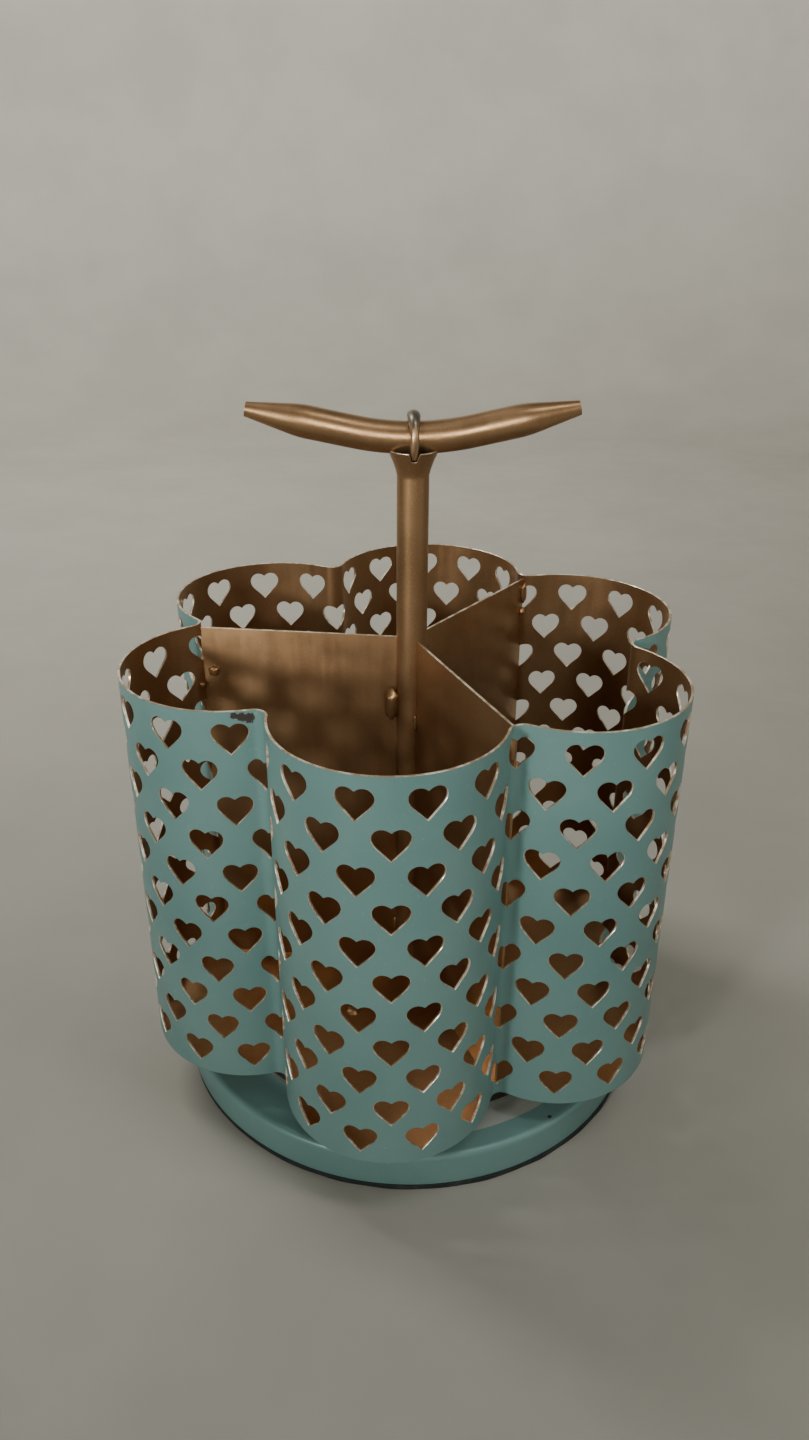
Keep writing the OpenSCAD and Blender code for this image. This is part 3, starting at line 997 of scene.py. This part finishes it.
def build_lights():
    """A window in front to the left, a card near the camera, a dim ceiling, a bounce and two washes."""
    part = (0, 0.02, 0.14)
    area_light("window", (-0.54, -1.02, 0.44), (0, 0.10, 0.44), (0.15, 0.15), 1.3, (1.0, 0.98, 0.94), 60)
    area_light("front_card", (0.22, -1.14, 0.60), (0.02, 0.10, 0.62), (0.30, 0.36), 1.0,
               (1.0, 0.98, 0.95), 60)
    area_light("ceiling", (0.1, -0.1, 1.5), part, (1.2, 1.2), 0.8, (1.0, 0.97, 0.93))
    area_light("side_bounce", (0.86, -0.36, 0.42), part, (0.5, 0.5), 0.9, (1.0, 0.97, 0.92))
    area_light("backdrop_wash", (-0.60, 0.30, 1.1), (-0.25, 1.5, 0.55), (0.6, 0.6), 19, (1.0, 0.97, 0.91))
    area_light("front_wash", (0.50, -0.30, 1.3), (0.0, -1.5, 0.85), (0.7, 0.7), 9, (1.0, 0.98, 0.94))
    world = bpy.data.worlds.new("room_light")
    world.use_nodes = True
    world.node_tree.nodes["Background"].inputs["Color"].default_value = (0.62, 0.62, 0.58, 1)
    world.node_tree.nodes["Background"].inputs["Strength"].default_value = 0.08
    bpy.context.scene.world = world


CAMERA_AT = Vector((0.03310, -0.32687, 0.29628))
CAMERA_YAW = math.radians(-6.16)
CAMERA_DOWN = math.radians(27.008)
CAMERA_ROLL = math.radians(0.354)
PHOTO_TALL = 1440
FOCAL_PIXELS = 1081
SENSOR = 36.0


def build_camera():
    """The photograph's viewpoint. The sensor size is that of the frame's long side."""
    data = bpy.data.cameras.new("view")
    data.sensor_width = SENSOR
    data.lens = SENSOR * FOCAL_PIXELS / PHOTO_TALL
    data.clip_start, data.clip_end = 0.01, 20
    level_part = math.cos(CAMERA_DOWN)
    forward = Vector((math.sin(CAMERA_YAW) * level_part, math.cos(CAMERA_YAW) * level_part,
                      -math.sin(CAMERA_DOWN)))
    level = Vector((math.cos(CAMERA_YAW), -math.sin(CAMERA_YAW), 0))
    above = level.cross(forward)
    right = level * math.cos(CAMERA_ROLL) + above * math.sin(CAMERA_ROLL)
    up = above * math.cos(CAMERA_ROLL) - level * math.sin(CAMERA_ROLL)
    turn = Matrix((right, up, -forward)).transposed()
    camera = bpy.data.objects.new("view", data)
    camera.matrix_world = Matrix.Translation(CAMERA_AT) @ turn.to_4x4()
    bpy.context.scene.collection.objects.link(camera)
    bpy.context.scene.camera = camera


# ---------------------------------------------------------------- making it


def dress(node, material):
    """Gives a CAD node that stays as it is a material."""
    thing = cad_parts[node]
    thing.data.materials.clear()
    thing.data.materials.append(material)


build_camera()
build_lights()
build_stage()

# worn spots, each a place and a size in millimetres
scuff = [((-39.4, -62.2, WALL_HIGH - 2.4), 3.4), ((-41.3, -62.9, WALL_HIGH - 2.0), 3.0),
         ((-43.4, -63.5, WALL_HIGH - 1.4), 2.2)]
chips = [((-12, -94, 70), 2.2), ((-6, -95, 35), 2.0)]
base_chips = [((54, -61, BASE_TOP), 1.5)]
base_patch = (76, (38, -57, BASE_TOP), 34)
mint = mint_paint("mint_paint_wall", scuff + chips)
mint_base = mint_paint("mint_paint_base", base_chips, base_patch)
copper = copper_paint("copper_paint", 0.285)
copper_post = copper_paint("copper_post_paint", 0.36)
# the cut edges' light cream is partly a painted highlight
edge = cut_edge_with_painted_highlight()
zinc = zinc_plate()
bronze = bronze_wire()
rubber = rubber_foot()
nylon = moulded_nylon()
steel = ball_steel()

build_wall(mint, copper, edge)
build_dividers(copper, edge)
build_welds(copper)
build_post(copper_post, edge)
build_handle(copper)
build_eye(bronze)
build_base(mint_base, rubber)

dress("floor_plate", copper)
dress("floor_rivets", copper)
for node in ("lower_race", "upper_race", "race_rivets", "washer", "lock_nut"):
    dress(node, zinc)
for node in ("pivot_bush", "ball_cage"):
    dress(node, nylon)
dress("bearing_balls", steel)
